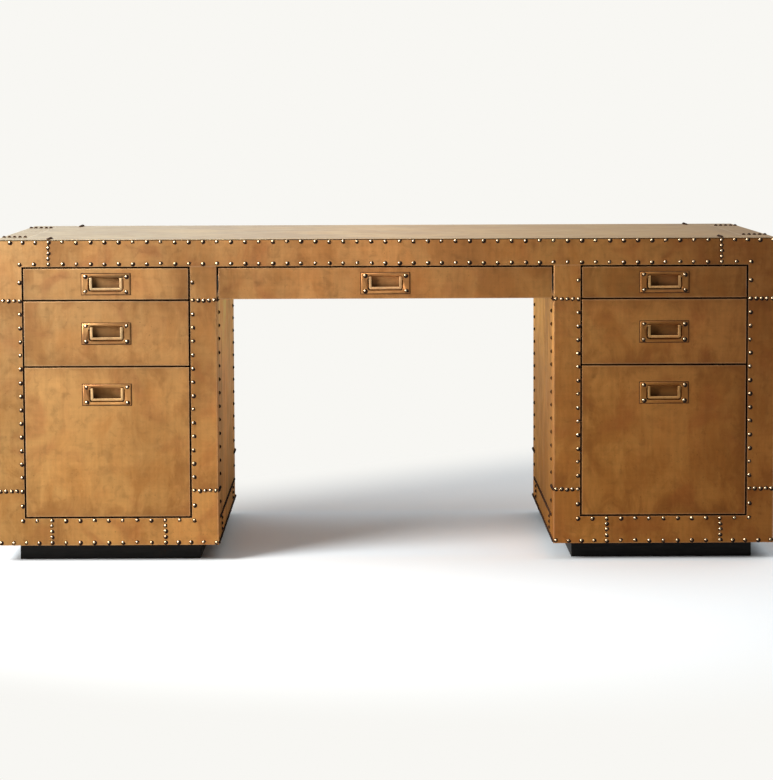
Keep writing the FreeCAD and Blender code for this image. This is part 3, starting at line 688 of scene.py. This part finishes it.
def drive(pattern, name, spots, outward):
    """Copies of a head at each spot, each a little off in place, size and tilt."""
    out = Vector(outward)
    up = Vector((0, 1, 0)) if out.z else Vector((0, 0, 1))
    right = up.cross(out)
    upright = Matrix((right, out.cross(right), out)).transposed().to_4x4()
    heads = []
    for spot in spots:
        head = pattern.copy()
        head.data = pattern.data.copy()
        askew = Matrix.Rotation(math.radians(hand.uniform(-TILT, TILT)), 4, "X")
        askew = askew @ Matrix.Rotation(math.radians(hand.uniform(-TILT, TILT)), 4, "Y")
        off = Matrix.Translation((hand.gauss(0, OFF_PLACE), hand.gauss(0, OFF_PLACE), -HEAD_SUNK))
        size = Matrix.Scale(hand.uniform(1 - OFF_SIZE, 1 + OFF_SIZE), 4)
        head.data.transform(Matrix.Translation(spot) @ upright @ off @ askew @ size)
        write_attribute(head.data, "tone", [hand.uniform(-1, 1)] * len(head.data.vertices))
        bpy.context.scene.collection.objects.link(head)
        heads.append(head)
    return join(heads, name)


def row(start, end, count):
    """Evenly spaced places from start to end, both included."""
    return [start + (end - start) * step / (count - 1) for step in range(count)]


def edge_row(ends, seams, at_ends, inner):
    """A row that keeps a nail on each seam: even to the seams and between them."""
    return (row(ends[0], seams[0], at_ends) + row(seams[0], seams[1], inner)[1:-1]
            + row(seams[1], ends[1], at_ends))


EDGE_INSET = 0.006
SEAM = 0.126
SEAM_NAILS = 5
END_NAILS = 3
COLUMN_NAILS = 15
COLUMN_INSET = 0.0575
SIDE_COLUMN = 0.061
END_REACH = 0.057
FRONT_REACH = 0.058
TOP_ROW = top_z - 0.0059
BAND_ROW = 0.7050
UPPER_SEAM = 0.619
LOWER_SEAM = 0.169
RAIL_ROW = 0.099
BOTTOM_ROW = 0.0463
column_rows = row(UPPER_SEAM, LOWER_SEAM, COLUMN_NAILS) + [(LOWER_SEAM + RAIL_ROW) / 2]


def band_nails(length, column, inner):
    """Nails of the band and the seams across it, as places along the face and heights."""
    seams = (SEAM, length - SEAM)
    ends = (EDGE_INSET, length - EDGE_INSET)
    spots = [(u, TOP_ROW) for u in edge_row(ends, seams, SEAM_NAILS, inner)]
    columns = (column, length - column)
    spots += [(u, BAND_ROW) for u in edge_row(columns, seams, END_NAILS, inner)]
    spots += [(u, z) for u in seams for z in row(TOP_ROW, BAND_ROW, SEAM_NAILS)[1:-1]]
    return spots


def rail_nails(length, column, inner):
    """Nails of the bottom rail, the columns at both ends and the seams across them."""
    seams = (SEAM, length - SEAM)
    columns = (column, length - column)
    ends = (EDGE_INSET, length - EDGE_INSET)
    to_column = row(EDGE_INSET, column, SEAM_NAILS)[:-1]
    spots = [(u, RAIL_ROW) for u in edge_row(columns, seams, END_NAILS, inner)]
    spots += [(u, BOTTOM_ROW) for u in edge_row(ends, seams, SEAM_NAILS, inner)]
    spots += [(u, z) for u in seams for z in row(RAIL_ROW, BOTTOM_ROW, SEAM_NAILS)[1:-1]]
    spots += [(u, z) for u in columns for z in column_rows]
    for z in (UPPER_SEAM, LOWER_SEAM):
        spots += [(u, z) for u in to_column]
        spots += [(length - u, z) for u in to_column]
    return spots


APRON_ROW = 0.627
APRON_NAILS = 25
FRONT_NAILS = 49
PEDESTAL_NAILS = 9
SIDE_NAILS = 17
pedestal_width = HALF_WIDTH - HALF_KNEEHOLE
case_depth = back_y - front_y
mid_nail = (BAND_ROW + UPPER_SEAM) / 2
end_face = [(u - HALF_WIDTH, z) for u, z in band_nails(HALF_WIDTH * 2, COLUMN_INSET, FRONT_NAILS)]
for start in (-HALF_WIDTH, HALF_KNEEHOLE):
    end_face += [(start + u, z)
                 for u, z in rail_nails(pedestal_width, COLUMN_INSET, PEDESTAL_NAILS)]
    end_face += [(start + u, mid_nail) for u in (COLUMN_INSET, pedestal_width - COLUMN_INSET)]
apron_half = HALF_KNEEHOLE - EDGE_INSET
apron_nails = [(x, APRON_ROW) for x in row(-apron_half, apron_half, APRON_NAILS)]
side_low = rail_nails(case_depth, SIDE_COLUMN, SIDE_NAILS)
side_face = (band_nails(case_depth, SIDE_COLUMN, SIDE_NAILS) + side_low
             + [(u, mid_nail) for u in (SIDE_COLUMN, case_depth - SIDE_COLUMN)])

nail_brass, tree, shader = finish("nail_brass")
own_foot = add(tree, "ShaderNodeAttribute", attribute_name="foot").outputs["Fac"]
own_tone = add(tree, "ShaderNodeAttribute", attribute_name="tone").outputs["Fac"]
place = add(tree, "ShaderNodeTexCoord").outputs["Object"]
rub = add(tree, "ShaderNodeTexNoise", {"Vector": place, "Scale": 420.0, "Detail": 2.0}).outputs[0]
bright = blend(tree, ramp(tree, rub, 0.35, 0.7), (0.66, 0.43, 0.24, 1), (0.96, 0.74, 0.48, 1))
toned = add(tree, "ShaderNodeHueSaturation",
            {"Value": sums(tree, "ADD", 1.0, sums(tree, "MULTIPLY", own_tone, 0.08)),
             "Color": bright})
# Dark where the foot value is high: polish at the foot, and painted shade on the lower right and
# on the dull heads
dark_share = ramp(tree, own_foot, 0.04, 0.36)
wax_and_shade = blend(tree, ramp(tree, own_foot, 1.0, RING_FOOT), (0.008, 0.003, 0.0015, 1),
            (0.045, 0.017, 0.006, 1))
wire(tree, shader, {
    "Base Color": blend(tree, dark_share, toned.outputs[0], wax_and_shade),
    "Roughness": ramp(tree, dark_share, 0.0, 1.0, 0.26, 0.70),
    "Metallic": sums(tree, "SUBTRACT", 1.0, dark_share),
    "Specular IOR Level": 0.15})


def on_end(y, places):
    """Places on the front or the back of the case."""
    return [Vector((x, y, z)) for x, z in places]


def on_side(x, places):
    """Places on a face that runs from the front to the back."""
    return [Vector((x, front_y + u, z)) for u, z in places]


dome = nail_head(HEAD_RADIUS, HEAD_HEIGHT)
dull_dome = nail_head(DULL_RADIUS, DULL_HEIGHT, painted_shade=DULL_SHADE)
faces = [
    ("front_nails", dome, on_end(front_y, end_face), (0, -1, 0)),
    ("back_nails", dome, on_end(back_y, end_face + apron_nails), (0, 1, 0)),
    ("left_side_nails", dome, on_side(-HALF_WIDTH, side_face), (-1, 0, 0)),
    ("right_side_nails", dome, on_side(HALF_WIDTH, side_face), (1, 0, 0)),
    ("left_kneehole_nails", dull_dome, on_side(-HALF_KNEEHOLE, side_low), (1, 0, 0)),
    ("right_kneehole_nails", dull_dome, on_side(HALF_KNEEHOLE, side_low), (-1, 0, 0)),
]
from_end = row(EDGE_INSET, END_REACH, SEAM_NAILS)
from_front = row(EDGE_INSET, FRONT_REACH, SEAM_NAILS)
top_spots = []
for side in (-1, 1):
    for y in (front_y + SEAM, back_y - SEAM):
        top_spots += [Vector((side * (HALF_WIDTH - step), y, top_z)) for step in from_end]
    for y, inward in ((front_y, 1), (back_y, -1)):
        top_spots += [Vector((side * (HALF_WIDTH - SEAM), y + inward * step, top_z))
                      for step in from_front]
faces.append(("top_nails", dull_dome, top_spots, (0, 0, 1)))
for name, head, spots, outward in faces:
    dress(drive(head, name, spots, outward), nail_brass, "case", "sheet_brass")
bpy.data.objects.remove(dome)
bpy.data.objects.remove(dull_dome)

# Runner cleats and cabinet runners
# Plain packing of pale wood behind the slides, and the fixed channels of zinc-plated steel,
# rolled to a lipped section and screwed to the packing.

pale_boards = wood("packing_wood", (0.46, 0.31, 0.17, 1), (0.30, 0.18, 0.09, 1), "Y",
                   gloss=0.55, spread=7.0)
paint(pale_boards, "runner_cleats")
runner_steel, tree, shader = finish("runner_steel", metallic=1.0)
place = add(tree, "ShaderNodeTexCoord").outputs["Object"]
drawn = add(tree, "ShaderNodeMapping", {"Vector": place, "Scale": (400, 6, 400)}).outputs[0]
lines = add(tree, "ShaderNodeTexNoise", {"Vector": drawn, "Scale": 1.0, "Detail": 3.0}).outputs[0]
spangle = add(tree, "ShaderNodeTexVoronoi", {"Vector": place, "Scale": 90.0}).outputs["Color"]
grey = blend(tree, ramp(tree, lines, 0.3, 0.7), (0.40, 0.41, 0.42, 1), (0.58, 0.59, 0.60, 1))
wire(tree, shader, {"Base Color": blend(tree, 0.06, grey, spangle),
                    "Roughness": ramp(tree, lines, 0.3, 0.7, 0.26, 0.40)})
paint(runner_steel, "cabinet_runners")

# Drawers
# Seven drawers. Each has a hardwood front with a brass sheet folded over it, and a box of
# pale grooved boards on the moving channels of its slides. Each sheet's tone is chosen.

DRAWERS = {"left_top": -0.68, "left_middle": 0.1, "left_file": 0.6,
           "right_top": -0.9, "right_middle": 0.8, "right_file": 0.4, "centre": -0.8}
GAP_SHADE_DEPTH = 0.0008
front_boards = wood("front_wood", (0.14, 0.075, 0.038, 1), (0.07, 0.035, 0.018, 1), "X",
                    gloss=0.45)
box_boards = wood("box_wood", (0.62, 0.44, 0.26, 1), (0.46, 0.30, 0.155, 1), "Y",
                  gloss=0.42, spread=7.0)
for drawer, tone in DRAWERS.items():
    paint(front_boards, f"{drawer}_drawer_front")
    paint(box_boards, f"{drawer}_drawer_box")
    paint(runner_steel, f"{drawer}_drawer_runners")
    face = copy_of(f"{drawer}_drawer_face", f"{drawer}_brass_front")
    # Painted shade: the sheet's turned edges get darker deeper into the gap round the drawer
    mark_edges(face, tone, lambda place: min(1.0, (place.y - front_y) / GAP_SHADE_DEPTH))
    smooth(face)
    dress(face, case_brass, f"{drawer}_drawer", "sheet_brass", f"{drawer}_drawer_face")

# Pulls
# A bevelled brass plate with a pressed cup sunk into the drawer front, held by four flatter
# nails. It has the colour of the sheets, with dark polish and painted shade round the plate and
# its cup, and painted shade in the cup, darkest low down.

pull_brass = brass("pull_brass", gold=(0.80, 0.385, 0.115, 1), brown=(0.60, 0.260, 0.072, 1),
                   red=(0.52, 0.185, 0.060, 1), dark=(0.26, 0.10, 0.032, 1), relief=0.2)
PLATE_RING_WIDTH = 0.0016
PLATE_RING_UNDER = 0.0016
PLATE_RING_HEIGHT = 0.0001
PLATE_RING_FOOT = 0.9


def wax_and_shade_frame(low, high):
    """A flat ring of dark polish and painted shade on the sheet, from under the plate's edge
    outwards.
    """
    width = high.x - low.x + PLATE_RING_WIDTH * 2
    height = high.z - low.z + PLATE_RING_WIDTH * 2
    bpy.ops.object.select_all(action="DESELECT")
    bpy.ops.mesh.primitive_plane_add(size=1, location=(0, 0, 0))
    ring = bpy.context.object
    ring.data.transform(Matrix.Diagonal((width, height, 1, 1)))
    bpy.ops.object.mode_set(mode="EDIT")
    bpy.ops.mesh.select_all(action="SELECT")
    bpy.ops.mesh.inset(thickness=PLATE_RING_WIDTH + PLATE_RING_UNDER)
    bpy.ops.mesh.delete(type="FACE")
    bpy.ops.object.mode_set(mode="OBJECT")
    outer = width / 2 - PLATE_RING_UNDER / 2
    write_attribute(ring.data, "foot", [RING_FOOT if abs(v.co.x) > outer else PLATE_RING_FOOT
                                        for v in ring.data.vertices])
    write_attribute(ring.data, "tone", [0.0] * len(ring.data.vertices))
    middle = (low + high) / 2
    ring.data.transform(Matrix.Translation((middle.x, front_y - PLATE_RING_HEIGHT, middle.z))
                        @ Matrix.Rotation(math.radians(90), 4, "X"))
    return ring


PIN_RADIUS = 0.0043
PIN_HEIGHT = 0.0024
PIN_SPACING = (0.0478, 0.018)
CUP_HALF = (0.040, 0.0165)
CUP_ROUND = 0.0005
CUP_START = 0.002
CUP_RIM_SHADE = 0.85
BEVEL_START = 0.0006
BEVEL_DIRT_AND_SHADE = 0.6
pin = nail_head(PIN_RADIUS, PIN_HEIGHT)
for drawer in DRAWERS:
    node = f"{drawer}_drawer_pull"
    low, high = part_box(node)
    middle = (low + high) / 2
    plate = copy_of(node, f"{drawer}_pull_plate")

    def dirt_and_shade_on_pull(place):
        """Clean on the plate, dark round its cup and its bevel with polish and painted shade, and
        darkest low in the cup, as painted shade.
        """
        along, up = abs(place.x - middle.x), place.z - middle.z
        if place.y > front_y + CUP_START:
            # Painted shade in the cup, darkest at the bottom
            return 0.60 - 0.40 * max(-1.0, min(1.0, up / CUP_HALF[1]))
        if along < CUP_HALF[0] + CUP_ROUND and abs(up) < CUP_HALF[1] + CUP_ROUND:
            return CUP_RIM_SHADE
        return BEVEL_DIRT_AND_SHADE if place.y > low.y + BEVEL_START else 0.0

    mark_edges(plate, tones.uniform(-1, 1), dirt_and_shade_on_pull, wear_and_highlight=0.0)
    smooth(plate)
    dress(plate, pull_brass, f"{drawer}_drawer", "pull_brass", node)
    corners = [Vector((middle.x + across * PIN_SPACING[0], low.y, middle.z + up * PIN_SPACING[1]))
               for across in (-1, 1) for up in (-1, 1)]
    pins = drive(pin, f"{drawer}_pull_nails", corners, (0, -1, 0))
    pins = join([pins, wax_and_shade_frame(low, high)], f"{drawer}_pull_nails")
    dress(pins, nail_brass, f"{drawer}_drawer", "pull_brass")
bpy.data.objects.remove(pin)

# Bails
# A drop handle in each cup: a square brass bar bent to a U, with its edges eased, on two
# pivot pins. Its front is rubbed bright by hands, and the rest of the bar is darkened by dirt
# and painted shade.

bail_brass = brass("bail_brass", gold=(1.12, 0.70, 0.29, 1), brown=(1.08, 0.60, 0.22, 1),
                   red=(0.98, 0.52, 0.20, 1), dark=(0.54, 0.27, 0.09, 1), lacquer=0.2,
                   relief=0.2)
BAIL_FRONT_DEPTH = 0.0012
BAIL_DIRT_AND_SHADE = 0.7
for drawer in DRAWERS:
    node = f"{drawer}_drawer_bail"
    bail = copy_of(node, f"{drawer}_drop_handle")
    eased = bail.modifiers.new("eased", "BEVEL")
    eased.width = 0.0005
    eased.segments = 2
    eased.limit_method = "ANGLE"
    select_only(bail)
    bpy.ops.object.modifier_apply(modifier="eased")
    vertices = bail.data.vertices
    write_attribute(bail.data, "edge", [0.0] * len(vertices))
    # Dirt and painted shade on the bar's sides and back, inside the cup
    write_attribute(bail.data, "grime_and_shade",
                    [0.0 if v.co.y < front_y + BAIL_FRONT_DEPTH else BAIL_DIRT_AND_SHADE for v in vertices])
    write_attribute(bail.data, "tone", [tones.uniform(-1, 1)] * len(vertices))
    write_reach(bail.data)
    smooth(bail, 50)
    dress(bail, bail_brass, f"{drawer}_bail", "pull_brass", node)
